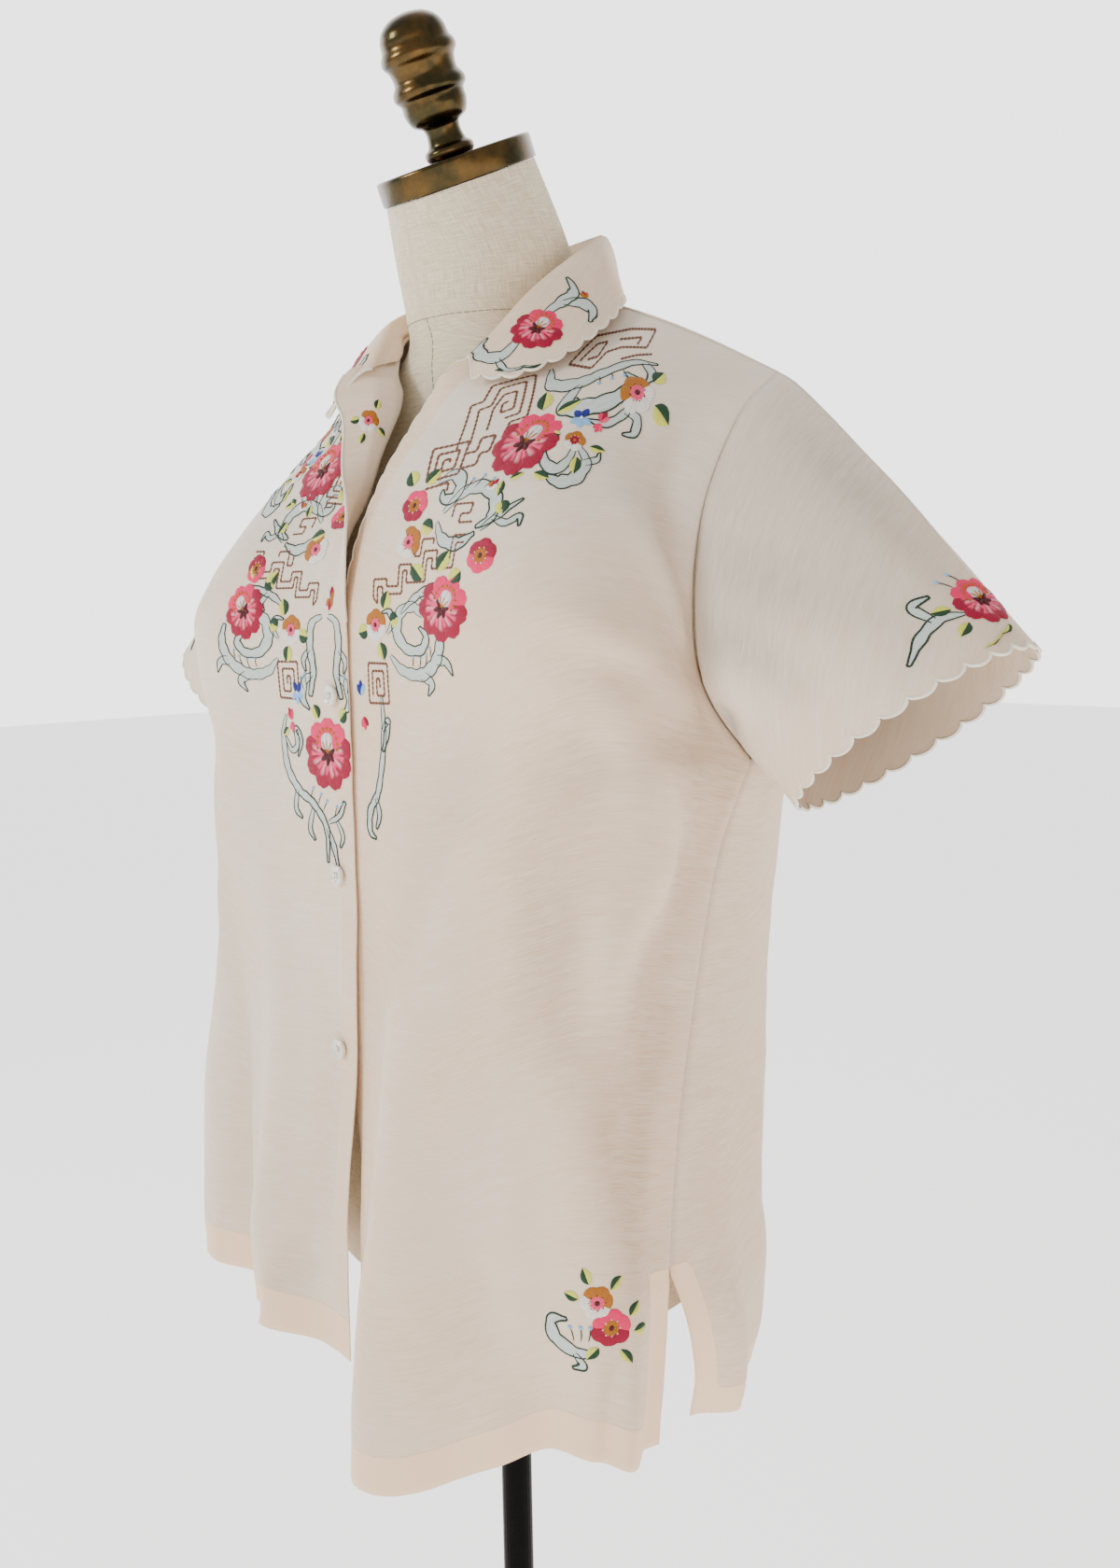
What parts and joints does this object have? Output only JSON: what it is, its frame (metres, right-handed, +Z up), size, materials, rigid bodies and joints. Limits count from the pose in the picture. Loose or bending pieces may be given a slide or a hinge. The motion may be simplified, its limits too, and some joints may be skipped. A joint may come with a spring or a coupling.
{
  "type": "button-front blouse on a limbless dress form",
  "caption": "Short-sleeved collared blouse with an embroidered front, buttoned at the middle, hanging open at the neck and hem on a limbless dress form and pole stand.",
  "frame": {"origin": "centre of the stand's underside, on the floor and on the pole's axis", "axes": "+Z up; the front of the blouse faces -Y; the blouse's own left side is +X"},
  "size_m": [0.728, 0.39, 1.5288],
  "materials": {
    "front_left_cloth": "slubby ivory plain weave, slightly sheer",
    "front_right_cloth": "slubby ivory plain weave, slightly sheer",
    "back_cloth": "slubby ivory plain weave, slightly sheer",
    "sleeve_left_cloth": "slubby ivory plain weave, slightly sheer",
    "sleeve_right_cloth": "slubby ivory plain weave, slightly sheer",
    "collar_cloth": "slubby ivory plain weave, slightly sheer",
    "button_pearl": "pearly ivory",
    "form_linen": "cream linen cover, tightly stretched",
    "neck_bronze": "dark antique bronze",
    "stand_black": "gloss black"
  },
  "bodies": {
    "root": {"front_left": "front_left_cloth", "front_right": "front_right_cloth", "back": "back_cloth", "sleeve_left": "sleeve_left_cloth", "sleeve_right": "sleeve_right_cloth", "collar": "collar_cloth", "button_1": "button_pearl", "button_2": "button_pearl", "button_3": "button_pearl", "form_torso": "form_linen", "neck_cap": "neck_bronze", "finial": "neck_bronze", "pole": "stand_black", "base": "stand_black"}
  },
  "joints": []
}
